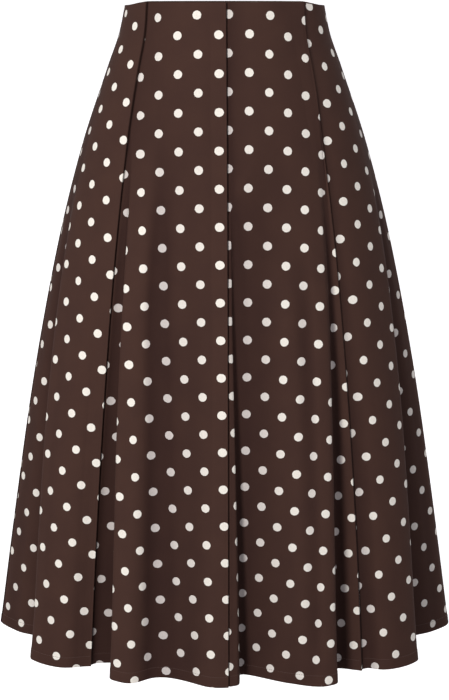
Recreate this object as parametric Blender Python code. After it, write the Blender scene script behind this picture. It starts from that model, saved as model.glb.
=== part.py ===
"""A-line midi skirt of eight gores, worn on nobody: a hollow bell of cloth that falls into soft folds.

Metres, +Z up. The origin is the centre of the waist opening, and the front faces -Y, so +X is the
wearer's left. The cloth is worked out as one surface(around, drop): `around` is the distance along the
hem from the wearer's right side seam, across the front, and `drop` is the distance below the waist.
Each piece is a wall on that surface. Blender 4.5.
"""

import math
from collections import namedtuple

import bmesh
import bpy
import numpy as np
from mathutils import Matrix, Vector

# Cloth
WALL = 0.0012
SEAM_GAP = 0.0003
DROP = 0.854
TURN_POWER = 1.4
STEP_ROUND_HEM = 0.015
ROWS = (0.0, 0.018, 0.035, 0.058, 0.085, 0.130, 0.180, 0.235, 0.275, 0.310, 0.400, 0.510, 0.620, 0.735, DROP)

# Pocket in the wearer's right side seam
POCKET_WALL = 0.0010
POCKET_MOUTH_TOP = 0.038
POCKET_MOUTH_BOTTOM = 0.190
POCKET_MOUTH_GAPE = 0.0030
POCKET_ALLOWANCE = 0.010
POCKET_GAP = 0.0010
POCKET_COLUMNS = 14

# Zip in the centre back seam
ZIP_TOP = 0.004
ZIP_BOTTOM = 0.180
ZIP_TAPE_WIDTH = 0.012
ZIP_TAPE_WALL = 0.0010
ZIP_COIL_HALF_WIDTH = 0.0020
SLIDER_DROP = 0.012
SLIDER_BODY = (0.0080, 0.0026, 0.0100)
SLIDER_STEM = (0.0016, 0.0070)
SLIDER_PLATE = (0.0050, 0.0010, 0.0080)
LUG_THICK = 0.0009
LUG_INNER = 0.0014
PIN_RADIUS = 0.0006
PIN_UP = 0.0020
EYE_HOLE_RADIUS = 0.00095
EYE_RADIUS = 0.0019
EYE_WIDTH = 0.0020
PULL_LENGTH = 0.0240
PULL_NECK = 0.0030
PULL_END_WIDTH = 0.0056
PULL_THICK = 0.0010
PULL_REST_DEG = 5.0
RUNNING_GAP = 0.0003
NOTCH_DEPTH = 0.006

# The plain bell without its folds, a row for each level. princess_deg is how far round from the
# centre the princess seams lie, in degrees of the level's ellipse.
Level = namedtuple("Level", "name drop half_width front_depth back_depth princess_deg")
LEVELS = (
    Level("waist", 0.000, 0.1275, 0.0925, 0.0925, 49.2),
    Level("high hip", 0.035, 0.1340, 0.0965, 0.0985, 47.6),
    Level("hip rise", 0.080, 0.1500, 0.1060, 0.1100, 45.5),
    Level("hip", 0.180, 0.1850, 0.1275, 0.1330, 41.5),
    Level("thigh", 0.310, 0.2200, 0.1480, 0.1520, 40.0),
    Level("above knee", 0.500, 0.2590, 0.1715, 0.1740, 39.2),
    Level("knee", 0.670, 0.2870, 0.1890, 0.1900, 39.0),
    Level("hem", DROP, 0.3150, 0.2050, 0.2050, 38.6),
)

# The lines that run up the skirt from the hem, in order round it: its seams, and the ridges, edges and
# hollows of its folds. x and y are the line's place at the hem. share is its place across its gore at
# the waist. start is the share of the drop at which it begins to leave the plain bell.
Line = namedtuple("Line", "name kind x y share start")
LINES = (
    Line("side right", "seam", -0.315, 0.002, 0.00, 0.20),
    Line("side front right outer", "ridge", -0.290, -0.029, 0.07, 0.27),
    Line("side front right", "hollow", -0.238, -0.060, 0.13, 0.27),
    Line("side front right", "edge", -0.258, -0.118, 0.20, 0.25),
    Line("side front right inner", "ridge", -0.214, -0.147, 0.70, 0.20),
    Line("front right", "seam", -0.176, -0.140, 0.00, 0.18),
    Line("centre front right", "hollow", -0.143, -0.134, 0.015, 0.20),
    Line("centre front right", "edge", -0.146, -0.180, 0.035, 0.22),
    Line("centre front right outer", "ridge", -0.128, -0.192, 0.16, 0.22),
    Line("centre front right middle", "hollow", -0.074, -0.178, 0.37, 0.18),
    Line("centre front right inner", "ridge", -0.010, -0.205, 0.93, 0.18),
    Line("centre front", "seam", 0.0055, -0.204, 0.00, 0.12),
    Line("centre front left inner", "edge", 0.0175, -0.199, 0.003, 0.28),
    Line("centre front left inner", "hollow", 0.019, -0.170, 0.03, 0.28),
    Line("centre front left middle", "ridge", 0.085, -0.194, 0.45, 0.18),
    Line("centre front left outer", "ridge", 0.128, -0.204, 0.84, 0.15),
    Line("centre front left", "edge", 0.144, -0.194, 0.955, 0.18),
    Line("centre front left", "hollow", 0.146, -0.149, 0.985, 0.20),
    Line("front left", "seam", 0.181, -0.153, 0.00, 0.12),
    Line("side front left inner", "ridge", 0.206, -0.156, 0.25, 0.16),
    Line("side front left", "edge", 0.256, -0.122, 0.80, 0.24),
    Line("side front left", "hollow", 0.238, -0.062, 0.87, 0.24),
    Line("side front left outer", "ridge", 0.290, -0.030, 0.93, 0.24),
    Line("side left", "seam", 0.315, 0.002, 0.00, 0.18),
    Line("side back left outer", "hollow", 0.283, 0.040, 0.22, 0.20),
    Line("side back left", "edge", 0.282, 0.088, 0.40, 0.18),
    Line("side back left", "ridge", 0.252, 0.124, 0.58, 0.18),
    Line("side back left inner", "hollow", 0.208, 0.126, 0.80, 0.15),
    Line("back left", "seam", 0.183, 0.150, 0.00, 0.14),
    Line("centre back left outer", "ridge", 0.158, 0.168, 0.14, 0.16),
    Line("centre back left", "hollow", 0.126, 0.157, 0.30, 0.16),
    Line("centre back left", "edge", 0.120, 0.190, 0.42, 0.18),
    Line("centre back left", "ridge", 0.094, 0.203, 0.55, 0.18),
    Line("centre back left inner", "hollow", 0.044, 0.184, 0.78, 0.18),
    Line("centre back", "seam", -0.002, 0.200, 0.00, 0.20),
    Line("centre back right inner", "ridge", -0.026, 0.207, 0.14, 0.20),
    Line("centre back right", "hollow", -0.066, 0.182, 0.38, 0.16),
    Line("centre back right", "ridge", -0.106, 0.200, 0.62, 0.16),
    Line("centre back right", "edge", -0.134, 0.188, 0.78, 0.16),
    Line("centre back right outer", "hollow", -0.140, 0.152, 0.90, 0.16),
    Line("back right", "seam", -0.178, 0.150, 0.00, 0.15),
    Line("side back right inner", "ridge", -0.206, 0.153, 0.20, 0.18),
    Line("side back right", "edge", -0.250, 0.128, 0.42, 0.18),
    Line("side back right", "hollow", -0.238, 0.080, 0.58, 0.18),
    Line("side back right outer", "ridge", -0.292, 0.046, 0.80, 0.20),
)

# The gores, in the same order: the first runs from the first seam to the second.
GORES = (
    "side_front_right",
    "centre_front_right",
    "centre_front_left",
    "side_front_left",
    "side_back_left",
    "centre_back_left",
    "centre_back_right",
    "side_back_right",
)

# The seams in the same order, and the first again after a whole turn: degrees round from the centre
# front, and which way the princess angle is added.
Seam = namedtuple("Seam", "name degrees princess")
SEAMS = (
    Seam("side right", -90, 0),
    Seam("front right", 0, -1),
    Seam("centre front", 1.15, 0),
    Seam("front left", 1.7, 1),
    Seam("side left", 90, 0),
    Seam("back left", 180, -1),
    Seam("centre back", 180, 0),
    Seam("back right", 180, 1),
    Seam("side right again", 270, 0),
)

# Pocket bag, a row for each level: how far it reaches from the side seam
BagRow = namedtuple("BagRow", "drop reach")
POCKET_BAG = (
    BagRow(0.018, 0.058),
    BagRow(0.058, 0.070),
    BagRow(0.130, 0.094),
    BagRow(0.180, 0.112),
    BagRow(0.235, 0.122),
    BagRow(0.275, 0.116),
    BagRow(0.310, 0.094),
)

CLOTH_BROWN = (0.060, 0.033, 0.026, 1.0)
POCKETING_BROWN = (0.045, 0.026, 0.021, 1.0)
TAPE_BROWN = (0.035, 0.020, 0.016, 1.0)
ZIP_METAL = (0.075, 0.045, 0.034, 1.0)


def hermite(share, span, start, start_slope, end, end_slope):
    """A cubic from start to end with the given slopes, at this share of the span."""
    ahead = share * share * (3 - 2 * share)
    early = share * (1 - share) ** 2 * span
    late = share * share * (share - 1) * span
    return start * (1 - ahead) + end * ahead + start_slope * early + end_slope * late


def between(x, knots, values):
    """The values at x, on a smooth curve through the knots that never overshoots them."""
    knots = np.asarray(knots, float)
    values = np.asarray(values, float)
    span = np.diff(knots)
    slope = np.diff(values) / span
    same_way = slope[1:] * slope[:-1] > 0
    total = np.where(same_way, slope[1:] + slope[:-1], 1.0)
    middle = np.where(same_way, 2 * slope[1:] * slope[:-1] / total, 0.0)
    tangent = np.concatenate([slope[:1], middle, slope[-1:]])
    i = np.clip(np.searchsorted(knots, x, side="right") - 1, 0, len(span) - 1)
    share = (x - knots[i]) / span[i]
    return hermite(share, span[i], values[i], tangent[i], values[i + 1], tangent[i + 1])


def column(rows, name):
    return np.array([getattr(row, name) for row in rows])


def knots_round_hem():
    """The distance round the hem of each line, and of the first one again after a whole turn."""
    x = column(LINES, "x")
    y = column(LINES, "y")
    steps = np.hypot(np.roll(x, -1) - x, np.roll(y, -1) - y)
    return np.concatenate([[0.0], np.cumsum(steps)])


LEVEL_DROPS = column(LEVELS, "drop")
KNOTS = knots_round_hem()
HEM_LENGTH = KNOTS[-1]
SEAM_LINES = [i for i, line in enumerate(LINES) if line.kind == "seam"] + [len(LINES)]
SEAM_PLACES = KNOTS[SEAM_LINES]
CENTRE_BACK = SEAM_PLACES[6]


def hem_curve(around):
    """x and y at the hem: a closed curve through the lines' places."""
    knots = np.concatenate([KNOTS[-2:-1] - HEM_LENGTH, KNOTS, KNOTS[1:2] + HEM_LENGTH])
    span = np.diff(knots)
    i = np.clip(np.searchsorted(knots, around, side="right") - 1, 1, len(LINES))
    curve = []
    for name in ("x", "y"):
        places = column(LINES, name)
        places = np.concatenate([places[-1:], places, places[:2]])
        slope = np.diff(places) / span
        start_slope = (slope[i - 1] * span[i] + slope[i] * span[i - 1]) / (span[i - 1] + span[i])
        end_slope = (slope[i] * span[i + 1] + slope[i + 1] * span[i]) / (span[i] + span[i + 1])
        share = (around - knots[i]) / span[i]
        curve.append(hermite(share, span[i], places[i], start_slope, places[i + 1], end_slope))
    return curve


def bell(degrees, drop):
    """x and y on the plain bell, this far round from the centre front."""
    width = between(drop, LEVEL_DROPS, column(LEVELS, "half_width"))
    front = between(drop, LEVEL_DROPS, column(LEVELS, "front_depth"))
    back = between(drop, LEVEL_DROPS, column(LEVELS, "back_depth"))
    angle = np.radians(degrees)
    depth = np.where(np.cos(angle) > 0, front, back)
    return width * np.sin(angle), -depth * np.cos(angle)


def degrees_on_bell(x, y, near):
    """How far round the bell's hem a point lies, on the same turn as `near`."""
    hem = LEVELS[-1]
    depth = np.where(y < 0, hem.front_depth, hem.back_depth)
    found = np.degrees(np.arctan2(x / hem.half_width, -y / depth))
    return found + 360 * np.round((near - found) / 360)


def seam_degrees(seam, drop):
    """How far round the plain bell a seam lies, from its number in SEAMS."""
    princess = between(drop, LEVEL_DROPS, column(LEVELS, "princess_deg"))
    return column(SEAMS, "degrees")[seam] + column(SEAMS, "princess")[seam] * princess


def surface(around, drop):
    """The outer face of the cloth: x, y and z this far round the hem and this far below the waist."""
    around, drop = np.broadcast_arrays(np.mod(around, HEM_LENGTH), np.asarray(drop, float))
    down = drop / DROP
    gore = np.clip(np.searchsorted(SEAM_PLACES, around, side="right") - 1, 0, len(GORES) - 1)
    x, y = hem_curve(around)
    hem_deg = degrees_on_bell(x, y, np.interp(around, KNOTS, LINE_DEGREES))
    share_at_hem = (hem_deg - SEAM_DEGREES[gore]) / (SEAM_DEGREES[gore + 1] - SEAM_DEGREES[gore])
    share_at_waist = between(around, KNOTS, LINE_SHARES) - gore
    turned = 1 - (1 - down) ** TURN_POWER
    share = share_at_waist + (share_at_hem - share_at_waist) * turned
    first = seam_degrees(gore, drop) + SEAM_OFFSETS[gore] * down
    last = seam_degrees(gore + 1, drop) + SEAM_OFFSETS[gore + 1] * down
    bell_x, bell_y = bell(first + (last - first) * share, drop)
    hem_x, hem_y = bell(hem_deg, np.full_like(drop, DROP))
    start = between(around, KNOTS, LINE_STARTS)
    fold = np.clip((down - start) / (1 - start), 0, 1)
    return np.stack([bell_x + (x - hem_x) * fold, bell_y + (y - hem_y) * fold, -drop], -1)


def degrees_of_lines():
    """How far round the bell each line meets the hem, rising from the first line to its next turn."""
    found = [-90.0]
    for line in LINES[1:]:
        found.append(float(degrees_on_bell(line.x, line.y, found[-1])))
    found[0] = float(degrees_on_bell(LINES[0].x, LINES[0].y, -90.0))
    return np.array(found + [found[0] + 360])


def shares_of_lines():
    """Each line's place across the gores at the waist, counted in gores from the first seam."""
    gores_before = np.cumsum([line.kind == "seam" for line in LINES]) - 1
    return np.concatenate([gores_before + column(LINES, "share"), [len(GORES)]])


LINE_DEGREES = degrees_of_lines()
LINE_SHARES = shares_of_lines()
LINE_STARTS = np.append(column(LINES, "start"), LINES[0].start)
SEAM_DEGREES = LINE_DEGREES[SEAM_LINES]
SEAM_OFFSETS = SEAM_DEGREES - seam_degrees(np.arange(len(GORES) + 1), DROP)


def frame_on(around, drop):
    """The surface's place, its level tangent and its outward normal."""
    nudge = 0.0002
    place = surface(around, drop)
    level = surface(around + nudge, drop) - surface(around - nudge, drop)
    tangent = level / np.linalg.norm(level, axis=-1, keepdims=True)
    higher = np.clip(np.asarray(drop, float) - nudge, 0, DROP)
    lower = np.clip(np.asarray(drop, float) + nudge, 0, DROP)
    downward = surface(around, lower) - surface(around, higher)
    normal = np.cross(downward, tangent)
    normal /= np.linalg.norm(normal, axis=-1, keepdims=True)
    return place, tangent, normal


def level_step(normal):
    """The level step outwards that crosses a metre of the cloth's thickness."""
    step = normal * (1, 1, 0)
    return step / np.sum(step * step, axis=-1, keepdims=True)


def around_at(start, drop, distance):
    """The place round the hem that lies this far along the level at this drop, either way from start."""
    tries = start + np.linspace(-0.05, 0.40, 451)
    steps = np.linalg.norm(np.diff(surface(tries, np.full_like(tries, drop)), axis=0), axis=1)
    lengths = np.concatenate([[0.0], np.cumsum(steps)])
    zero = np.interp(start, tries, lengths)
    return np.interp(zero + distance, lengths, tries)


# --- pieces ---


def clear_scene():
    for thing in list(bpy.data.objects):
        bpy.data.objects.remove(thing)


def material(name, colour, roughness, metallic=0.0):
    made = bpy.data.materials.new(name)
    made.use_nodes = True
    shader = made.node_tree.nodes["Principled BSDF"]
    shader.inputs["Base Color"].default_value = colour
    shader.inputs["Roughness"].default_value = roughness
    shader.inputs["Metallic"].default_value = metallic
    return made


def add_object(name, work, finish):
    """An object of this bmesh, smooth but for its sharp edges."""
    mesh = bpy.data.meshes.new(name)
    work.to_mesh(mesh)
    work.free()
    mesh.shade_smooth()
    mesh.set_sharp_from_angle(angle=math.radians(40))
    mesh.materials.append(finish)
    made = bpy.data.objects.new(name, mesh)
    bpy.context.scene.collection.objects.link(made)
    return made


def cloth(name, around, drop, depth, wall, sideways, finish):
    """A wall of cloth over a grid of places: rows go down, and columns go round the skirt.

    depth is how far its outer face lies inside the surface, and sideways moves a point along its level.
    """
    around, drop, depth, sideways = np.broadcast_arrays(around, drop, depth, sideways)
    place, tangent, normal = frame_on(around, drop)
    place = place + tangent * sideways[..., None]
    out = level_step(normal)
    faces = [place - out * depth[..., None], place - out * (depth + wall)[..., None]]
    work = bmesh.new()
    outer, inner = ([[work.verts.new(point) for point in row] for row in face] for face in faces)
    rows, columns = drop.shape
    for j in range(rows - 1):
        for i in range(columns - 1):
            for corners in (((j, i), (j + 1, i), (j + 1, i + 1)), ((j, i), (j + 1, i + 1), (j, i + 1))):
                work.faces.new([outer[row][column] for row, column in corners])
                work.faces.new([inner[row][column] for row, column in reversed(corners)])
    for j in range(rows - 1):
        work.faces.new((outer[j + 1][0], outer[j][0], inner[j][0], inner[j + 1][0]))
        work.faces.new((outer[j][-1], outer[j + 1][-1], inner[j + 1][-1], inner[j][-1]))
    for i in range(columns - 1):
        work.faces.new((outer[0][i], outer[0][i + 1], inner[0][i + 1], inner[0][i]))
        work.faces.new((outer[-1][i + 1], outer[-1][i], inner[-1][i], inner[-1][i + 1]))
    return add_object(name, work, finish)


def mouth_gape(drop):
    """How far the pocket's mouth stands open at this drop."""
    share = (drop - POCKET_MOUTH_TOP) / (POCKET_MOUTH_BOTTOM - POCKET_MOUTH_TOP)
    return POCKET_MOUTH_GAPE * np.sin(math.pi * np.clip(share, 0, 1))


def gore_columns(gore):
    """Places round the hem for a gore's columns: one at each of its lines, and even steps between."""
    knots = KNOTS[SEAM_LINES[gore] : SEAM_LINES[gore + 1] + 1]
    places = [knots[:1]]
    for left, right in zip(knots, knots[1:]):
        steps = max(1, round((right - left) / STEP_ROUND_HEM))
        places.append(np.linspace(left, right, steps + 1)[1:])
    return np.concatenate(places)


def make_gore(gore, finish):
    around = gore_columns(gore)
    drop = np.array(ROWS)[:, None]
    sideways = np.zeros((len(ROWS), len(around)))
    sideways[:, 0] = SEAM_GAP / 2
    sideways[:, -1] = -SEAM_GAP / 2
    if gore == 0:
        sideways[:, 0] += mouth_gape(np.array(ROWS)) / 2
    if gore == len(GORES) - 1:
        sideways[:, -1] -= mouth_gape(np.array(ROWS)) / 2
    return cloth(GORES[gore], around, drop, 0.0, WALL, sideways, finish)


def make_pocket_layer(name, hem_side, depth_at, finish):
    """One layer of the pocket bag. hem_side lists how far before the mouth's edge its columns begin."""
    drops = np.array([row for row in ROWS if POCKET_BAG[0].drop <= row <= POCKET_BAG[-1].drop])
    reach = between(drops, column(POCKET_BAG, "drop"), column(POCKET_BAG, "reach"))
    edge = POCKET_MOUTH_GAPE / 2 + SEAM_GAP
    under_front = edge + (reach[:, None] - edge) * np.linspace(0, 1, POCKET_COLUMNS)
    distance = np.hstack([np.tile(hem_side, (len(drops), 1)), under_front])
    around = np.array([around_at(0.0, drop, row) for drop, row in zip(drops, distance)])
    return cloth(name, around, drops[:, None], depth_at(distance), POCKET_WALL, 0.0, finish)


def front_layer_depth(distance):
    """Close to the front gore at the seam, and a little further from it inside the bag."""
    return WALL + SEAM_GAP + (POCKET_GAP - SEAM_GAP) * np.clip(distance / POCKET_ALLOWANCE, 0, 1)


def back_layer_depth(distance):
    """Close to the back gore before the seam, and under the front layer past it."""
    deeper = np.clip((distance + POCKET_ALLOWANCE) / (0.8 * POCKET_ALLOWANCE), 0, 1)
    return front_layer_depth(distance) + (POCKET_WALL + SEAM_GAP) * deeper


def make_zip_tape(name, side, finish):
    """One tape of the zip, inside the centre back seam: side is 1 on the wearer's right, -1 on their left."""
    drops = np.array([ZIP_TOP] + [row for row in ROWS if ZIP_TOP < row <= ZIP_BOTTOM])
    distance = side * np.linspace(ZIP_COIL_HALF_WIDTH, ZIP_COIL_HALF_WIDTH + ZIP_TAPE_WIDTH, 4)[::side]
    around = np.array([around_at(CENTRE_BACK, drop, distance) for drop in drops])
    return cloth(name, around, drops[:, None], WALL + SEAM_GAP, ZIP_TAPE_WALL, 0.0, finish)


def zip_frame():
    """The slider's frame at the top of the centre back seam: x level, y up the cloth, z out of it."""
    place, tangent, normal = frame_on(np.array(CENTRE_BACK), np.array(SLIDER_DROP))
    level = Vector(tangent)
    out = Vector(normal)
    up = out.cross(level)
    rotation = Matrix((level, up, out)).transposed().to_4x4()
    return Matrix.Translation(Vector(place)) @ rotation


def box(size, centre):
    """A bmesh box of this size about this centre."""
    work = bmesh.new()
    bmesh.ops.create_cube(work, size=1.0)
    bmesh.ops.scale(work, vec=size, verts=work.verts)
    bmesh.ops.translate(work, vec=centre, verts=work.verts)
    return work


def rod(radius, length, centre, sides=24):
    """A bmesh cylinder along x."""
    work = bmesh.new()
    turn = Matrix.Rotation(math.pi / 2, 4, "Y")
    bmesh.ops.create_cone(
        work, cap_ends=True, segments=sides, radius1=radius, radius2=radius, depth=length, matrix=turn
    )
    bmesh.ops.translate(work, vec=centre, verts=work.verts)
    return work


def combine(target, operation, others):
    """Boolean modifiers on the target, one for each other shape, which become hidden helpers."""
    for other in others:
        other.hide_render = True
        other.display_type = "WIRE"
        modifier = target.modifiers.new(operation.title(), "BOOLEAN")
        modifier.operation = operation
        modifier.solver = "EXACT"
        modifier.object = other


def make_slider(frame, finish):
    """The slider: a body behind the tapes, a stem through the seam, and a plate with two lugs and a pin."""
    inside = -(WALL + 2 * SEAM_GAP + ZIP_TAPE_WALL)
    plate_top = SEAM_GAP + SLIDER_PLATE[1]
    stem_low = inside - SLIDER_BODY[1] / 2
    stem_high = SEAM_GAP + SLIDER_PLATE[1] / 2
    pin_height = plate_top + EYE_RADIUS + RUNNING_GAP
    lug_low = SEAM_GAP + SLIDER_PLATE[1] / 2
    lug_high = pin_height + PIN_RADIUS + LUG_THICK / 2
    body_size = (SLIDER_BODY[0], SLIDER_BODY[2], SLIDER_BODY[1])
    slider = add_object("zip_slider", box(body_size, (0, 0, inside - SLIDER_BODY[1] / 2)), finish)
    stem_size = (SLIDER_STEM[0], SLIDER_STEM[1], stem_high - stem_low)
    plate_size = (SLIDER_PLATE[0], SLIDER_PLATE[2], SLIDER_PLATE[1])
    lug_size = (LUG_THICK, 2 * (PIN_RADIUS + LUG_THICK / 2), lug_high - lug_low)
    lug_out = LUG_INNER + LUG_THICK / 2
    shapes = [
        box(stem_size, (0, 0, (stem_low + stem_high) / 2)),
        box(plate_size, (0, 0, SEAM_GAP + SLIDER_PLATE[1] / 2)),
        box(lug_size, (lug_out, PIN_UP, (lug_low + lug_high) / 2)),
        box(lug_size, (-lug_out, PIN_UP, (lug_low + lug_high) / 2)),
        rod(PIN_RADIUS, 2 * lug_out, (0, PIN_UP, pin_height)),
    ]
    helpers = [add_object("slider_helper", shape, finish) for shape in shapes]
    combine(slider, "UNION", helpers)
    for thing in [slider] + helpers:
        thing.matrix_world = frame
    return slider, pin_height


def pull_outline():
    """The pull tab's outline below its eye: a stem that widens to a round end."""
    end_radius = PULL_END_WIDTH / 2
    neck = EYE_WIDTH / 2
    top = -(EYE_HOLE_RADIUS + RUNNING_GAP)
    wide = -(PULL_LENGTH - end_radius)
    side = [(neck, top), (neck, -PULL_NECK)]
    for share in np.linspace(0, 1, 6)[1:]:
        flare = share * share * (3 - 2 * share)
        side.append((neck + (end_radius - neck) * flare, -PULL_NECK + (wide + PULL_NECK) * share))
    turn = [math.pi * share for share in np.linspace(0, 1, 13)[1:-1]]
    end = [(end_radius * math.cos(a), wide - end_radius * math.sin(a)) for a in turn]
    return side + end + [(-x, y) for x, y in reversed(side)]


def prism(outline, low, high):
    """A bmesh plate of this outline in x and y, given clockwise, between two heights."""
    work = bmesh.new()
    lower = [work.verts.new((x, y, low)) for x, y in outline]
    upper = [work.verts.new((x, y, high)) for x, y in outline]
    work.faces.new(lower)
    work.faces.new(upper[::-1])
    for i, last in enumerate(lower):
        after = (i + 1) % len(lower)
        work.faces.new((lower[after], last, upper[i], upper[after]))
    return work


def make_pull(frame, pin_height, finish):
    """The pull tab, with its origin on the slider's pin, lying against the cloth."""
    pull = add_object("zip_pull", rod(EYE_RADIUS, EYE_WIDTH, (0, 0, 0), sides=32), finish)
    plate = add_object("pull_plate_helper", prism(pull_outline(), -PULL_THICK / 2, PULL_THICK / 2), finish)
    hole = add_object("pull_hole_helper", rod(EYE_HOLE_RADIUS, 3 * EYE_WIDTH, (0, 0, 0)), finish)
    combine(pull, "UNION", [plate])
    combine(pull, "DIFFERENCE", [hole])
    rest = Matrix.Rotation(math.radians(PULL_REST_DEG), 4, "X")
    for thing in (pull, plate, hole):
        thing.matrix_world = frame @ Matrix.Translation((0, PIN_UP, pin_height)) @ rest
    return pull


def notch_for_stem(gores, frame, finish):
    """Lets the slider's stem through the seam between the two centre back gores."""
    width, height = (length + 2 * RUNNING_GAP for length in SLIDER_STEM)
    cutter = add_object("stem_notch", box((width, height, NOTCH_DEPTH), (0, 0, 0)), finish)
    cutter.matrix_world = frame
    for gore in gores:
        combine(gore, "DIFFERENCE", [cutter])


def main():
    clear_scene()
    gores = [make_gore(i, material(name, CLOTH_BROWN, 0.75)) for i, name in enumerate(GORES)]
    pocketing = material("pocketing", POCKETING_BROWN, 0.85)
    allowance = [-POCKET_ALLOWANCE, -0.6 * POCKET_ALLOWANCE, -0.2 * POCKET_ALLOWANCE]
    make_pocket_layer("pocket_bag_front", [], front_layer_depth, pocketing)
    make_pocket_layer("pocket_bag_back", allowance, back_layer_depth, pocketing)
    tape = material("zip_tape", TAPE_BROWN, 0.8)
    make_zip_tape("zip_tape_left", -1, tape)
    make_zip_tape("zip_tape_right", 1, tape)
    frame = zip_frame()
    metal = material("zip_metal", ZIP_METAL, 0.35, 0.6)
    slider, pin_height = make_slider(frame, metal)
    make_pull(frame, pin_height, metal)
    notch_for_stem(gores[5:7], frame, metal)


main()
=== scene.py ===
"""Looks of the a-line midi skirt: printed gores, pocket bag, zip, stitches, floor, light and camera.

Metres, +Z up, in the CAD's frame: the origin is the centre of the waist opening and the front faces -Y.
The tables and the surface below repeat those of the CAD, so each piece of cloth lies where its solid is.
"""

import math
from collections import namedtuple

import bpy
import numpy as np
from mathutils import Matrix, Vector


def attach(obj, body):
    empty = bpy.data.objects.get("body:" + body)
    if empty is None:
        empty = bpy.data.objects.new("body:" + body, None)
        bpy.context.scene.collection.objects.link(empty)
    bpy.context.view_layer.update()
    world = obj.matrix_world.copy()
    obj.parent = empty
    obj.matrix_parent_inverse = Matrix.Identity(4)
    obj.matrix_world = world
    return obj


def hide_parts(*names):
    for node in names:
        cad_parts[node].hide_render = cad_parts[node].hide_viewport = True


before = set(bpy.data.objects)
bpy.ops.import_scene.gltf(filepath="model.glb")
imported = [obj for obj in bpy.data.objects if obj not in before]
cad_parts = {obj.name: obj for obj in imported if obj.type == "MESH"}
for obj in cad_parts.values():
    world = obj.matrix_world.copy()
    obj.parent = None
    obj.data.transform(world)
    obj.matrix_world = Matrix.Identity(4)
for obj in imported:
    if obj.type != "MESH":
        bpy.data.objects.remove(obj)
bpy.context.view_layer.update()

# --- repeated from the CAD ---

WALL = 0.0012
SEAM_GAP = 0.0003
DROP = 0.854
TURN_POWER = 1.4
POCKET_MOUTH_TOP = 0.038
POCKET_MOUTH_BOTTOM = 0.190
POCKET_MOUTH_GAPE = 0.0030
POCKET_ALLOWANCE = 0.010
POCKET_GAP = 0.0010
POCKET_WALL = 0.0010
ZIP_TOP = 0.004
ZIP_BOTTOM = 0.180
ZIP_TAPE_WIDTH = 0.012
ZIP_COIL_HALF_WIDTH = 0.0020
SLIDER_DROP = 0.012
STEM_LENGTH = 0.0070


def table(fields, *rows):
    """A named tuple for each row."""
    row_type = namedtuple("Row", fields)
    return [row_type(*row) for row in rows]


LEVELS = table(
    "drop half_width front_depth back_depth princess_deg",
    (0.000, 0.1275, 0.0925, 0.0925, 49.2),  # waist
    (0.035, 0.1340, 0.0965, 0.0985, 47.6),  # high hip
    (0.080, 0.1500, 0.1060, 0.1100, 45.5),  # hip rise
    (0.180, 0.1850, 0.1275, 0.1330, 41.5),  # hip
    (0.310, 0.2200, 0.1480, 0.1520, 40.0),  # thigh
    (0.500, 0.2590, 0.1715, 0.1740, 39.2),  # above knee
    (0.670, 0.2870, 0.1890, 0.1900, 39.0),  # knee
    (DROP, 0.3150, 0.2050, 0.2050, 38.6),  # hem
)

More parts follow.
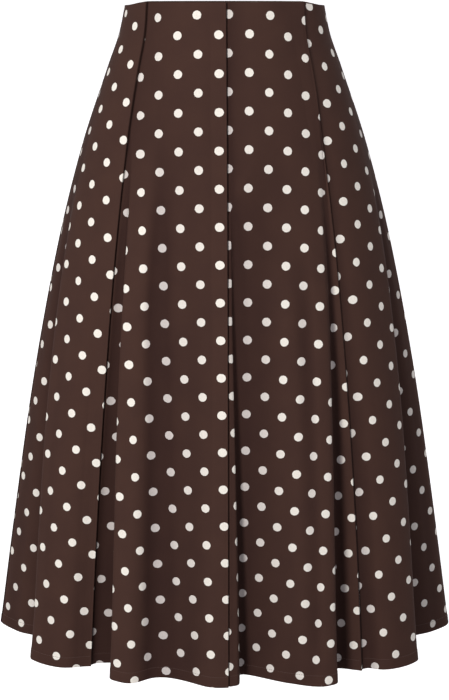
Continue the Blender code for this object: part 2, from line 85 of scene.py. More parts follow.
# Lines that run down the cloth, in order round the skirt: their place at the hem, their place across the
# gore at the waist and how far down the fold starts.
LINES = table(
    "kind x y share start",
    # side right seam and side front right gore
    ("seam", -0.315, 0.002, 0.00, 0.20),
    ("ridge", -0.290, -0.029, 0.07, 0.27),
    ("hollow", -0.238, -0.060, 0.13, 0.27),
    ("edge", -0.258, -0.118, 0.20, 0.25),
    ("ridge", -0.214, -0.147, 0.70, 0.20),
    # front right seam and centre front right gore
    ("seam", -0.176, -0.140, 0.00, 0.18),
    ("hollow", -0.143, -0.134, 0.015, 0.20),
    ("edge", -0.146, -0.180, 0.035, 0.22),
    ("ridge", -0.128, -0.192, 0.16, 0.22),
    ("hollow", -0.074, -0.178, 0.37, 0.18),
    ("ridge", -0.010, -0.205, 0.93, 0.18),
    # centre front seam and centre front left gore
    ("seam", 0.0055, -0.204, 0.00, 0.12),
    ("edge", 0.0175, -0.199, 0.003, 0.28),
    ("hollow", 0.019, -0.170, 0.03, 0.28),
    ("ridge", 0.085, -0.194, 0.45, 0.18),
    ("ridge", 0.128, -0.204, 0.84, 0.15),
    ("edge", 0.144, -0.194, 0.955, 0.18),
    ("hollow", 0.146, -0.149, 0.985, 0.20),
    # front left seam and side front left gore
    ("seam", 0.181, -0.153, 0.00, 0.12),
    ("ridge", 0.206, -0.156, 0.25, 0.16),
    ("edge", 0.256, -0.122, 0.80, 0.24),
    ("hollow", 0.238, -0.062, 0.87, 0.24),
    ("ridge", 0.290, -0.030, 0.93, 0.24),
    # side left seam and side back left gore
    ("seam", 0.315, 0.002, 0.00, 0.18),
    ("hollow", 0.283, 0.040, 0.22, 0.20),
    ("edge", 0.282, 0.088, 0.40, 0.18),
    ("ridge", 0.252, 0.124, 0.58, 0.18),
    ("hollow", 0.208, 0.126, 0.80, 0.15),
    # back left seam and centre back left gore
    ("seam", 0.183, 0.150, 0.00, 0.14),
    ("ridge", 0.158, 0.168, 0.14, 0.16),
    ("hollow", 0.126, 0.157, 0.30, 0.16),
    ("edge", 0.120, 0.190, 0.42, 0.18),
    ("ridge", 0.094, 0.203, 0.55, 0.18),
    ("hollow", 0.044, 0.184, 0.78, 0.18),
    # centre back seam and centre back right gore
    ("seam", -0.002, 0.200, 0.00, 0.20),
    ("ridge", -0.026, 0.207, 0.14, 0.20),
    ("hollow", -0.066, 0.182, 0.38, 0.16),
    ("ridge", -0.106, 0.200, 0.62, 0.16),
    ("edge", -0.134, 0.188, 0.78, 0.16),
    ("hollow", -0.140, 0.152, 0.90, 0.16),
    # back right seam and side back right gore
    ("seam", -0.178, 0.150, 0.00, 0.15),
    ("ridge", -0.206, 0.153, 0.20, 0.18),
    ("edge", -0.250, 0.128, 0.42, 0.18),
    ("hollow", -0.238, 0.080, 0.58, 0.18),
    ("ridge", -0.292, 0.046, 0.80, 0.20),
)

FRONT_GORES = ("side_front_right", "centre_front_right", "centre_front_left", "side_front_left")
BACK_GORES = ("side_back_left", "centre_back_left", "centre_back_right", "side_back_right")
GORES = FRONT_GORES + BACK_GORES

# Where each seam runs on the plain bell, in degrees from the centre front, from the right side seam to
# its next turn, and which way the princess angle of LEVELS moves it
SEAM_TURNS = np.array((-90, 0, 1.15, 1.7, 90, 180, 180, 180, 270))
SEAM_PRINCESS = np.array((0, -1, 0, 1, 0, -1, 0, 1, 0))

# Drop and reach of the pocket bag's edge
POCKET_BAG = table(
    "drop reach",
    (0.018, 0.058),
    (0.058, 0.070),
    (0.130, 0.094),
    (0.180, 0.112),
    (0.235, 0.122),
    (0.275, 0.116),
    (0.310, 0.094),
)


def hermite(share, span, start, start_slope, end, end_slope):
    """A cubic from start to end with the given slopes, at this share of the span."""
    ahead = share * share * (3 - 2 * share)
    early = share * (1 - share) ** 2 * span
    late = share * share * (share - 1) * span
    return start * (1 - ahead) + end * ahead + start_slope * early + end_slope * late


def between(x, knots, values):
    """The values at x, on a smooth curve through the knots that never overshoots them."""
    span = np.diff(knots)
    slope = np.diff(values) / span
    same_way = slope[1:] * slope[:-1] > 0
    total = np.where(same_way, slope[1:] + slope[:-1], 1.0)
    middle = np.where(same_way, 2 * slope[1:] * slope[:-1] / total, 0.0)
    tangent = np.concatenate([slope[:1], middle, slope[-1:]])
    i = np.clip(np.searchsorted(knots, x, side="right") - 1, 0, len(span) - 1)
    share = (x - knots[i]) / span[i]
    return hermite(share, span[i], values[i], tangent[i], values[i + 1], tangent[i + 1])


def column(rows, name):
    return np.array([getattr(row, name) for row in rows])


def unit(vector):
    return vector / np.linalg.norm(vector, axis=-1, keepdims=True)


def totals(steps, axis=0):
    """The running totals of steps along this axis, from 0."""
    return np.insert(np.cumsum(steps, axis), 0, 0.0, axis)


def lengths_along(places, axis=0):
    """The distance of each place from the first one, along this axis of a grid of places."""
    return totals(np.linalg.norm(np.diff(places, axis=axis), axis=-1), axis)


# The distance round the hem of each line, and of the first one again after a whole turn
KNOTS = lengths_along(np.array([(line.x, line.y) for line in (*LINES, LINES[0])]))
HEM_LENGTH = KNOTS[-1]
SEAM_LINES = [i for i, line in enumerate(LINES) if line.kind == "seam"] + [len(LINES)]
SEAM_PLACES = KNOTS[SEAM_LINES]
CENTRE_BACK = SEAM_PLACES[6]


def hem_curve(around):
    """x and y at the hem: a closed curve through the lines' places."""
    knots = np.concatenate([KNOTS[-2:-1] - HEM_LENGTH, KNOTS, KNOTS[1:2] + HEM_LENGTH])
    span = np.diff(knots)
    i = np.clip(np.searchsorted(knots, around, side="right") - 1, 1, len(LINES))
    curve = []
    for name in ("x", "y"):
        places = column(LINES, name)
        places = np.concatenate([places[-1:], places, places[:2]])
        slope = np.diff(places) / span
        start_slope = (slope[i - 1] * span[i] + slope[i] * span[i - 1]) / (span[i - 1] + span[i])
        end_slope = (slope[i] * span[i + 1] + slope[i + 1] * span[i]) / (span[i] + span[i + 1])
        share = (around - knots[i]) / span[i]
        curve.append(hermite(share, span[i], places[i], start_slope, places[i + 1], end_slope))
    return curve


def of_bell(name, drop):
    return between(drop, column(LEVELS, "drop"), column(LEVELS, name))


def bell(degrees, drop):
    """x and y on the plain bell, this far round from the centre front."""
    angle = np.radians(degrees)
    depth = np.where(np.cos(angle) > 0, of_bell("front_depth", drop), of_bell("back_depth", drop))
    return of_bell("half_width", drop) * np.sin(angle), -depth * np.cos(angle)


def degrees_on_bell(x, y, near):
    """How far round the bell's hem a point lies, on the same turn as `near`."""
    hem = LEVELS[-1]
    depth = np.where(y < 0, hem.front_depth, hem.back_depth)
    found = np.degrees(np.arctan2(x / hem.half_width, -y / depth))
    return found + 360 * np.round((near - found) / 360)


def seam_degrees(seam, drop):
    """How far round the plain bell a seam lies, from its number."""
    return SEAM_TURNS[seam] + SEAM_PRINCESS[seam] * of_bell("princess_deg", drop)


def fold_open(down, start):
    """How far a fold that starts this far down has opened."""
    return np.clip((down - start) / (1 - start), 0, 1)


def surface(around, drop):
    """The outer face of the cloth: x, y and z this far round the hem and this far below the waist."""
    around, drop = np.broadcast_arrays(np.mod(around, HEM_LENGTH), np.asarray(drop, float))
    down = drop / DROP
    gore = np.clip(np.searchsorted(SEAM_PLACES, around, side="right") - 1, 0, len(GORES) - 1)
    x, y = hem_curve(around)
    hem_deg = degrees_on_bell(x, y, np.interp(around, KNOTS, LINE_DEGREES))
    share_at_hem = (hem_deg - SEAM_DEGREES[gore]) / (SEAM_DEGREES[gore + 1] - SEAM_DEGREES[gore])
    share_at_waist = between(around, KNOTS, LINE_SHARES) - gore
    turned = 1 - (1 - down) ** TURN_POWER
    share = share_at_waist + (share_at_hem - share_at_waist) * turned
    first = seam_degrees(gore, drop) + SEAM_OFFSETS[gore] * down
    last = seam_degrees(gore + 1, drop) + SEAM_OFFSETS[gore + 1] * down
    bell_x, bell_y = bell(first + (last - first) * share, drop)
    hem_x, hem_y = bell(hem_deg, np.full_like(drop, DROP))
    fold = fold_open(down, between(around, KNOTS, LINE_STARTS))
    return np.stack([bell_x + (x - hem_x) * fold, bell_y + (y - hem_y) * fold, -drop], -1)


def degrees_of_lines():
    """How far round the bell each line meets the hem, rising from the first line to its next turn."""
    found = [-90.0]
    for line in (*LINES, LINES[0]):
        found.append(float(degrees_on_bell(line.x, line.y, found[-1])))
    return np.array(found[1:])


def shares_of_lines():
    """Each line's place across the gores at the waist, counted in gores from the first seam."""
    gores_before = np.cumsum([line.kind == "seam" for line in LINES]) - 1
    return np.concatenate([gores_before + column(LINES, "share"), [len(GORES)]])


LINE_DEGREES = degrees_of_lines()
LINE_SHARES = shares_of_lines()
LINE_STARTS = np.append(column(LINES, "start"), LINES[0].start)
SEAM_DEGREES = LINE_DEGREES[SEAM_LINES]
SEAM_OFFSETS = SEAM_DEGREES - seam_degrees(np.arange(len(GORES) + 1), DROP)


def frame_on(around, drop):
    """The surface's place, its level tangent and its outward normal."""
    nudge = 0.0002
    place = surface(around, drop)
    tangent = unit(surface(around + nudge, drop) - surface(around - nudge, drop))
    higher = np.clip(drop - nudge, 0, DROP)
    lower = np.clip(drop + nudge, 0, DROP)
    normal = unit(np.cross(surface(around, lower) - surface(around, higher), tangent))
    return place, tangent, normal


def level_step(normal):
    """The level step outwards that crosses a metre of the cloth's thickness."""
    step = normal * (1, 1, 0)
    return step / np.sum(step * step, axis=-1, keepdims=True)


def around_at(start, drop, distance):
    """The place round the hem that lies this far along the level at this drop, either way from start."""
    tries = start + np.linspace(-0.05, 0.40, 451)
    lengths = lengths_along(surface(tries, drop))
    zero = np.interp(start, tries, lengths)
    return np.interp(zero + distance, lengths, tries)


# --- sizes of the cloth's own relief ---

THICKNESS = 0.0008
ALLOWANCE = 0.012
HEM_TURN = 0.015
WAIST_TURN = 0.010
TURN_THICKNESS = 0.0005
TURN_BLUR = 0.0005
FINE_BLUR = 0.0003
WAIST_ROLL = 0.0016
WAIST_SAG = 0.0044
STITCH_UP = 0.014
STITCH_PITCH = 0.0032
STITCH_LENGTH = 0.0025
STITCH_MARGIN = 0.0024
THREAD_RADIUS = 0.00018
THREAD_OUT = 0.00006
SEAM_TOUCH = 0.00002
EDGE_DISTANCES = (0.0, 0.00012, 0.00035, 0.0007, 0.0012, 0.002, 0.0032, 0.005)
WAIST_DISTANCES = (*EDGE_DISTANCES, 0.0075, 0.0095, 0.0105, 0.0130)
HEM_DISTANCES = (*EDGE_DISTANCES, 0.0075, 0.0100, 0.0125, 0.0134, 0.0140, 0.0146, 0.0153, 0.0165)
SEAM_DISTANCES = (0.0, 0.0001, 0.0003, 0.0006, 0.0009, 0.0013, 0.0019, 0.0026)
SEAM_DISTANCES += (0.0032, 0.0039, 0.0054, 0.0076, 0.0100, 0.0116, 0.0124, 0.0142)
ROW_STEP = 0.0042
COLUMNS_BETWEEN = 66

# How the cloth lies at each seam, in the seams' order: the gore before it is lifted by the seam
# allowances and laps over the gore after it, which falls away beside it. high is at the waist and low at
# the hem. Then the depth of the groove between them, and how dark and how wide the painted shade beside
# it is, a darkening of the cloth's colour that stands in for the ledge's shadow.
LEDGES = table(
    "lift_high lift_low fall_high fall_low groove shade shade_low",
    (0.0006, 0.0010, 0.0004, 0.0008, 0.0007, 0.15, 0.0060),
    (0.0014, 0.0026, 0.0012, 0.0058, 0.0020, 0.20, 0.0080),
    (0.0018, 0.0016, 0.0034, 0.0012, 0.0024, 0.55, 0.0220),
    (0.0012, 0.0034, 0.0016, 0.0075, 0.0020, 0.25, 0.0090),
    (0.0006, 0.0010, 0.0004, 0.0008, 0.0007, 0.15, 0.0060),
    (0.0012, 0.0024, 0.0010, 0.0046, 0.0016, 0.25, 0.0090),
    (0.0006, 0.0014, 0.0006, 0.0014, 0.0009, 0.20, 0.0080),
    (0.0012, 0.0026, 0.0012, 0.0050, 0.0016, 0.25, 0.0090),
)
LIFT_WIDTH = (0.006, 0.012)
FALL_WIDTH = (0.0065, 0.0090)
FALL_SCALE = 2.3
GROOVE_WIDTH = 0.0017
# Widths of the painted shade in the seam grooves, at the gore's first and at its last edge
GROOVE_PAINTED_SHADE_WIDTHS = (0.0010, 0.0007)
LAP_WIDTH = 0.0012
EDGE_STITCH = 0.0032
EDGE_STITCH_DEPTH = 0.00022
EDGE_STITCH_WIDTH = 0.0005
SEAM_CALM = 0.014
# Painted shade beside each seam's ledge: its width at the waist, and the shares of the drop over which it
# begins and widens
SHADE_HIGH = 0.0040
SHADE_BEGINS = (0.03, 0.14)
SHADE_WIDENS = (0.10, 0.55)

# Lines pressed sharper or deeper than the form, by their number in LINES: width, height, how far down
# this is complete, and how far it lies aside of the line at the hem
PRESSED = {n: (0.0060, 0.0010, 0.9, 0.0) for n, line in enumerate(LINES) if line.kind == "edge"}
PRESSED[9] = (0.0170, -0.0044, 0.45, -0.018)
PRESSED[12] = (0.0040, 0.0004, 0.9, 0.0)
PRESSED[13] = (0.0080, -0.0010, 0.6, 0.0)
PRESSED[33] = (0.0120, -0.0020, 0.6, -0.003)
PRESSED[36] = (0.0120, -0.0024, 0.5, 0.004)

# The pocket bag's layers, the zip's tapes and the coil's teeth
LINING_THICKNESS = 0.0006
BAG_PINCHED = (0.004, 0.018)
BAG_WAVE = 0.0003
BAG_WAVES = (90, 40)
BAG_GRID = (74, 30)
TAPE_GRID = (90, 14)
COIL_ENDS = (SLIDER_DROP + 0.007, ZIP_BOTTOM - 0.004)
TOOTH_PITCH = 0.0012
TOOTH_ASIDE = 0.0009
TOOTH_LENGTH = 0.0034
TOOTH_RADIUS = 0.00042

# Painted shade in the hollows and painted light on the crests, mixed into the cloth's colour: how far to
# each side its neighbours are taken, how far a crest stands above them and a deep hollow lies below, and
# the most that the painted shade darkens
HOLLOW_REACH = 0.020
HOLLOW_CREST = -0.0040
HOLLOW_DEEP = 0.0050
MOST_PAINTED_DARK = 0.72

# Soft troughs in the cloth, each between its high and its low end. share is the place across the gore.
# It grows and dies out over CREASE_START and CREASE_END, measured down from those ends.
CREASES = table(
    "gore high_share high_drop low_share low_drop width depth",
    (0, 0.30, 0.10, 0.18, 0.40, 0.016, 0.0010),
    (0, 0.62, 0.30, 0.60, 0.84, 0.018, 0.0012),
    (1, 0.42, 0.24, 0.36, 0.60, 0.014, 0.0008),
    (1, 0.78, 0.34, 0.80, 0.84, 0.016, 0.0012),
    (2, 0.63, 0.32, 0.58, 0.84, 0.015, 0.0062),
    (2, 0.30, 0.20, 0.30, 0.60, 0.018, 0.0008),
    (3, 0.44, 0.28, 0.40, 0.82, 0.018, 0.0014),
    (3, 0.74, 0.10, 0.86, 0.38, 0.016, 0.0010),
    (4, 0.52, 0.26, 0.50, 0.78, 0.018, 0.0012),
    (5, 0.62, 0.30, 0.66, 0.80, 0.016, 0.0012),
    (5, 0.24, 0.12, 0.20, 0.44, 0.018, 0.0008),
    (6, 0.50, 0.34, 0.50, 0.82, 0.016, 0.0012),
    (6, 0.76, 0.16, 0.80, 0.50, 0.016, 0.0008),
    (7, 0.34, 0.28, 0.30, 0.80, 0.018, 0.0012),
)
CREASE_START = (-0.05, 0.10)
CREASE_END = (-0.06, 0.06)

# Two long soft waves on each gore: how many across it, how many down it, phase and height at the hem
WAVES = (
    ((1.4, 0.5, 0.3, 0.0008), (3.1, -0.8, 1.9, 0.0004)),
    ((1.7, -0.4, 1.1, 0.0007), (3.4, 0.9, 0.4, 0.0004)),
    ((1.3, 0.6, 2.4, 0.0007), (2.8, -0.6, 1.2, 0.0004)),
    ((1.6, -0.5, 0.8, 0.0008), (3.3, 0.7, 2.7, 0.0004)),
    ((1.5, 0.4, 3.0, 0.0008), (3.0, -0.9, 0.6, 0.0004)),
    ((1.8, -0.6, 2.1, 0.0007), (3.5, 0.5, 1.6, 0.0004)),
    ((1.2, 0.7, 0.2, 0.0008), (2.9, -0.7, 3.4, 0.0004)),
    ((1.6, -0.3, 1.5, 0.0008), (3.2, 0.8, 2.2, 0.0004)),
)
WAVES_GROW = (0.05, 0.9)

# The second layer of the turned hem lifts the cloth. Its stitches draw the cloth in, unevenly, and it
# swells a little around them: the sizes and pitches of the unevenness, then depth or height and width.
HEM_LIFT = 0.0004
HEM_LIFT_BLUR = 0.0015
PUCKERS = ((0.35, 0.0212), (0.25, 0.0093))
STITCH_DRAW = (0.0003, 0.0010)
STITCH_SWELL = (0.00022, 0.0060)

# The cloth stands back from the seam at the slider's stem: by how much, and over what lengths above and
# below the stem this dies out. OPENING_FADE is how fast any opening dies out beside its seam.
STEM_GAPE = 0.0011
STEM_CLEAR = (0.0004, 0.004)
OPENING_FADE = 0.004

# The waist edge dips towards the sides
WAIST_SAG_ACROSS = (0.100, 0.128)
WAIST_SAG_DOWN = 0.035

# The print's grain on each gore's flat cut: across and down the cloth, in millimetres, from the flat
# place (u, v) in decimetres about the cut's middle. Each row has the factors of the first 3, 6 or 10 of
# 1, u, v, uu, uv, vv, uuu, uuv, uvv and vvv.
CUT_MIDDLE = 0.43
GRAINS = (
    (
        (-80.84, 95.64, -26.62, -1.81, -0.93, -0.85, 3.44, 0.80, -0.21, 0.04),
        (33.84, 25.41, 96.54, 7.04, 1.89, -0.08, 1.75, -1.01, -0.02, -0.05),
    ),
    (
        (-49.56, 104.58, -6.34, 3.54, 2.59, 0.03, -2.73, -0.25, -0.01, -0.05),
        (297.23, 12.12, 102.70, 3.26, 1.49, 0.16, -3.98, 0.11, -0.06, -0.02),
    ),
    (
        (67.64, 111.90, 8.65, 3.94, 3.08, 0.10),
        (-134.95, -11.64, 102.87, -3.63, -0.83, 0.07),
    ),
    (
        (64.50, 91.28, 29.15, -2.46, -0.88, 0.42, 2.92, 0.71, -0.02, 0.04),
        (48.05, -26.76, 93.08, 5.38, -0.81, -0.29, -3.78, -1.24, -0.02, 0.01),
    ),
    ((-63.0, 95.6, -27.2), (21.0, 27.2, 95.6)),
    ((-30.0, 99.5, -9.6), (12.0, 9.6, 99.5)),
    ((47.0, 99.5, 9.6), (-8.0, -9.6, 99.5)),
    ((71.0, 95.6, 28.4), (5.0, -28.4, 95.6)),
)

# Where a fold hides cloth between two lines of LINES, the print past it is shifted by this much: across
# and down, in millimetres, times how far the fold has opened and times the square of that.
TUCKS = table(
    "gore first_line last_line across down",
    (0, 2, 3, (-10.9, 17.6), (-3.3, -1.8)),
    (1, 6, 7, (-2.6, -10.3), (5.7, -16.1)),
    (2, 12, 13, (-16.3, 16.0), (-0.8, -7.9)),
    (2, 16, 17, (-38.3, -15.7), (-0.1, 1.6)),
)
DOT_ACROSS = 0.0251
DOT_DOWN = 0.0243
DOT_RADIUS = 0.0054
DOT_BLUR = 0.00022
WRONG_SIDE_DOTS = 0.16
# Painted shade on the whole inner face of the cloth, as a share between the crests' painted light and the
# hollows' painted shade
INNER_PAINTED_SHADE = 0.20

# Flat cut of each gore: widest across, longest down, and area
CUTS = table(
    "width length area",
    (0.2575, 0.8726, 0.1465),
    (0.2461, 0.8656, 0.1505),
    (0.2626, 0.8673, 0.1520),
    (0.2550, 0.8726, 0.1452),
    (0.2261, 0.8739, 0.1392),
    (0.2330, 0.8665, 0.1438),
    (0.2250, 0.8663, 0.1410),
    (0.2464, 0.8725, 0.1452),
)

FLAT_ROWS = 37
FLAT_COLUMNS = 17
FLAT_STEPS = 8
FLAT_ROUNDS = 6
INSIDE_GORE = 1e-7


def smooth(x, low, high):
    """0 below low, 1 above high and a soft step between."""
    share = np.clip((x - low) / (high - low), 0, 1)
    return share * share * (3 - 2 * share)


def smooth_at(x, edge, blur):
    return smooth(x, edge - blur, edge + blur)


def bump(x, width):
    return np.exp(-((x / width) ** 2))


def quarter_round(distance, radius):
    """The fall of a round edge, as a share of its radius: 1 at its end, 0 where the face is level."""
    inside = np.clip(1 - distance / radius, 0, 1)
    return 1 - np.sqrt(1 - inside * inside)


# --- the flat cut of a gore, for its print ---


def paths(gore, around, drop, first, last):
    """Lengths along the cloth between neighbours of the grid."""
    share = np.linspace(0, 1, FLAT_STEPS + 1)[:, None, None]
    along = around[first] + (around[last] - around[first]) * share
    along = np.clip(along, SEAM_PLACES[gore] + INSIDE_GORE, SEAM_PLACES[gore + 1] - INSIDE_GORE)
    return lengths_along(surface(along, drop[first] + (drop[last] - drop[first]) * share))[-1]


def flat_cut(gore):
    """The gore laid flat: a grid of places whose neighbours are as far apart as they are on the cloth."""
    around = np.linspace(SEAM_PLACES[gore], SEAM_PLACES[gore + 1], FLAT_COLUMNS)
    around, drop = np.meshgrid(around, np.linspace(0, DROP, FLAT_ROWS))
    number = np.arange(around.size).reshape(around.shape)
    cells = np.s_
    neighbours = (
        (cells[:, :-1], cells[:, 1:]),
        (cells[:-1, :], cells[1:, :]),
        (cells[:-1, :-1], cells[1:, 1:]),
        (cells[:-1, 1:], cells[1:, :-1]),
    )
    lengths = [paths(gore, around, drop, first, last) for first, last in neighbours]
    first = np.concatenate([number[cell].ravel() for cell, _ in neighbours])
    last = np.concatenate([number[cell].ravel() for _, cell in neighbours])
    wanted = np.concatenate([length.ravel() for length in lengths])
    middle = FLAT_COLUMNS // 2
    across = totals(lengths[0], 1)
    across -= across[:, -1:] / 2
    down = totals(lengths[1][:, middle])[:, None] + np.zeros(FLAT_COLUMNS)
    flat = np.stack([across, down], -1).reshape(-1, 2)
    ends = ((first, first, 1), (last, last, 1), (first, last, -1), (last, first, -1))
    for _ in range(FLAT_ROUNDS):
        step = flat[last] - flat[first]
        length = np.linalg.norm(step, axis=1)
        way = step / length[:, None]
        stiffness = 1e-6 * np.eye(flat.size)
        force = np.zeros(flat.size)
        for axis in (0, 1):
            along = way[:, axis] * (length - wanted)
            np.add.at(force, 2 * last + axis, along)
            np.add.at(force, 2 * first + axis, -along)
            for other in (0, 1):
                pull = way[:, axis] * way[:, other]
                for start, end, sign in ends:
                    np.add.at(stiffness, (2 * start + axis, 2 * end + other), sign * pull)
        flat = flat - np.linalg.solve(stiffness, force).reshape(-1, 2)
    flat = flat.reshape(FLAT_ROWS, FLAT_COLUMNS, 2)
    flat = flat - flat[0, middle]
    lean = math.atan2(*flat[-1, middle])
    cos, sin = math.cos(lean), math.sin(lean)
    return flat @ np.array([[cos, sin], [-sin, cos]])


def spline_weights(x, count):
    """The four neighbours of x on a grid line with one more place at each end, and their weights."""
    i = np.clip(np.floor(x).astype(int), 0, count - 2)
    t = x - i
    weights = (
        -0.5 * t + t * t - 0.5 * t**3,
        1 - 2.5 * t * t + 1.5 * t**3,
        0.5 * t + 2 * t * t - 1.5 * t**3,
        -0.5 * t * t + 0.5 * t**3,
    )
    return [(i + k, weight) for k, weight in enumerate(weights)]


def flat_places(gore, flat, around, drop):
    """The flat places of these points of the gore, from its flat cut."""
    for _ in range(2):
        flat = np.concatenate([2 * flat[:1] - flat[1:2], flat, 2 * flat[-1:] - flat[-2:-1]])
        flat = flat.transpose(1, 0, 2)
    row = drop / DROP * (FLAT_ROWS - 1)
    share = (around - SEAM_PLACES[gore]) / (SEAM_PLACES[gore + 1] - SEAM_PLACES[gore])
    places = 0
    for j, down in spline_weights(row, FLAT_ROWS):
        for i, across in spline_weights(share * (FLAT_COLUMNS - 1), FLAT_COLUMNS):
            places = places + (down * across)[..., None] * flat[j, i]
    return places


def print_places(gore, flat, around, drop):
    """Where points of the gore lie on the print, across and down its grain, from their flat places."""
    u = flat[..., 0] * 10
    v = (flat[..., 1] - CUT_MIDDLE) * 10
    terms = (np.ones_like(u), u, v, u * u, u * v, v * v, u**3, u * u * v, u * v * v, v**3)
    places = [sum(c * t for c, t in zip(row, terms)) for row in GRAINS[gore]]
    for tuck in TUCKS:
        if tuck.gore == gore:
            start = max(LINES[tuck.first_line].start, LINES[tuck.last_line].start)
            opened_up = fold_open(drop / DROP, start)
            past = smooth(around, KNOTS[tuck.first_line], KNOTS[tuck.last_line])
            for axis, (once, squared) in enumerate((tuck.across, tuck.down)):
                places[axis] = places[axis] + past * (once * opened_up + squared * opened_up**2)
    return np.stack(places, -1) / 1000


def print_and_roundness(gore, around, drop):
    """The print's places, and three numbers that give the length on the cloth of a step on the print."""
    cut = flat_cut(gore)
    nudge = 0.0005
    flat = flat_places(gore, cut, around, drop)
    printed = print_places(gore, flat, around, drop)
    steps = []
    for along, down in ((nudge, 0), (0, nudge)):
        ahead = flat_places(gore, cut, around + along, drop + down)
        steps.append((ahead - flat, print_places(gore, ahead, around + along, drop + down) - printed))
    on_cloth, on_print = np.stack(steps, -1)
    back = on_cloth @ np.linalg.inv(on_print)
    lengths = np.swapaxes(back, -1, -2) @ back
    return printed, lengths[..., (0, 0, 1), (0, 1, 1)]


# --- meshes ---


def add_mesh(name, vertices, faces, finish, sharp_deg=50):
    mesh = bpy.data.meshes.new(name)
    mesh.from_pydata(vertices.tolist(), [], [list(face) for face in faces])
    mesh.shade_smooth()
    mesh.set_sharp_from_angle(angle=math.radians(sharp_deg))
    mesh.materials.append(finish)
    made = bpy.data.objects.new(name, mesh)
    bpy.context.scene.collection.objects.link(made)
    return made


def quads(rows, columns, first=0):
    """Corners of the cells of a grid, numbered along its rows from first."""
    corner = first + np.arange((rows - 1) * columns).reshape(rows - 1, columns)[:, :-1].ravel()
    return np.stack([corner, corner + columns, corner + columns + 1, corner + 1], 1)


def shell_faces(rows, columns):
    """The faces of a closed shell whose outer grid comes first and whose inner grid follows."""
    size = rows * columns
    outer = quads(rows, columns)
    inner = quads(rows, columns, size)[:, ::-1]
    number = np.arange(size).reshape(rows, columns)
    rim = np.concatenate([number[0, ::-1], number[1:, 0], number[-1, 1:], number[-2:0:-1, -1]])
    after = np.roll(rim, -1)
    edge = np.stack([rim, after, after + size, rim + size], 1)
    return np.concatenate([outer, inner, edge[:, ::-1]])


def add_uv(piece, places):
    layer = piece.data.uv_layers.new(name="print")
    corners = np.empty(len(piece.data.loops), np.int32)
    piece.data.loops.foreach_get("vertex_index", corners)
    layer.data.foreach_set("uv", places.reshape(-1, 2)[corners].astype(np.float32).ravel())


def add_value(piece, name, values, kind="FLOAT", field="value"):
    made = piece.data.attributes.new(name, kind, "POINT")
    made.data.foreach_set(field, values.astype(np.float32).ravel())


# --- the gores ---

Grid = namedtuple("Grid", "gore around drop along length lines")


def grid_on(gore, drops, places_along):
    """A grid on the gore: a row for each drop, its columns where places_along puts them on the level."""
    inside = 1e-6
    tries = np.linspace(SEAM_PLACES[gore] + inside, SEAM_PLACES[gore + 1] - inside, 600)
    lengths = lengths_along(surface(tries, drops[:, None]), 1)
    along = places_along(lengths[:, -1:])
    around = np.array([np.interp(row, length, tries) for row, length in zip(along, lengths)])
    lines = np.array([np.interp(KNOTS, tries, length) for length in lengths])
    return Grid(gore, around, drops[:, None] + np.zeros_like(along), along, lengths[:, -1:], lines)


def gore_rows():
    high = np.array(WAIST_DISTANCES)
    hem = DROP - np.array(HEM_DISTANCES)
    between_ends = np.linspace(high[-1], hem[-1], round((hem[-1] - high[-1]) / ROW_STEP) + 1)[1:-1]
    return np.concatenate([high, between_ends, hem[::-1]])


def gore_columns(length):
    """Close together at the seams and even between them."""
    ends = np.array(SEAM_DISTANCES)[None]
    even = np.linspace(0, 1, COLUMNS_BETWEEN + 2)[None, 1:-1]
    inner = ends[:, -1:] + (length - 2 * ends[:, -1:]) * even
    return np.hstack([ends + 0 * length, inner, (length - ends)[:, ::-1]])


def at_drop(high, low, down):
    return high + (low - high) * down


def relief(grid):
    """How far the cloth's outer face stands out of the plain surface."""
    down = grid.drop / DROP
    left = grid.along
    right = grid.length - grid.along
    share = grid.along / grid.length
    up = DROP - grid.drop
    # Seams: the first gore laps over the second, and both turn in at the stitches between them
    before = LEDGES[grid.gore]
    after = LEDGES[(grid.gore + 1) % len(GORES)]
    from_seam = left / at_drop(*FALL_WIDTH, down)
    fall = -at_drop(before.fall_high, before.fall_low, down) * FALL_SCALE * from_seam * np.exp(-from_seam)
    height = fall - before.groove * bump(left, GROOVE_WIDTH)
    lift = at_drop(after.lift_high, after.lift_low, down) * np.exp(-right / at_drop(*LIFT_WIDTH, down))
    height = height + lift - (lift + after.groove) * quarter_round(right, LAP_WIDTH)
    height = height - EDGE_STITCH_DEPTH * bump(right - EDGE_STITCH, EDGE_STITCH_WIDTH)
    # Pressed lines, creases and waves die out at the seams, so neighbouring gores meet there
    calm = smooth(np.minimum(left, right), 0.0, SEAM_CALM / 2)
    for number in range(SEAM_LINES[grid.gore] + 1, SEAM_LINES[grid.gore + 1]):
        if number in PRESSED:
            width, high, full, aside = PRESSED[number]
            folded = smooth(down, LINES[number].start, full)
            beside = grid.along - grid.lines[:, number : number + 1] - aside * down
            height = height + calm * high * folded * bump(beside, width)
    calm = smooth(np.minimum(left, right), 0.0, SEAM_CALM)
    for crease in CREASES:
        if crease.gore == grid.gore:
            way = np.clip((grid.drop - crease.high_drop) / (crease.low_drop - crease.high_drop), 0, 1)
            middle = crease.high_share + (crease.low_share - crease.high_share) * way
            shown = smooth(grid.drop - crease.high_drop, *CREASE_START)
            shown = shown * (1 - smooth(grid.drop - crease.low_drop, *CREASE_END))
            beside = (share - middle) * grid.length
            height = height - calm * crease.depth * shown * bump(beside, crease.width)
    for across, lean, phase, size in WAVES[grid.gore]:
        turn = 2 * math.pi * (across * share + lean * down) + phase
        height = height + calm * size * smooth(down, *WAVES_GROW) * np.sin(turn)
    height = height + HEM_LIFT * (1 - smooth_at(up, HEM_TURN, HEM_LIFT_BLUR))
    uneven = sum(size * np.sin(grid.around * 2 * math.pi / pitch) for size, pitch in PUCKERS)
    height = height - STITCH_DRAW[0] * (1 + uneven) * bump(up - STITCH_UP, STITCH_DRAW[1])
    return height + STITCH_SWELL[0] * uneven * bump(up - STITCH_UP, STITCH_SWELL[1])


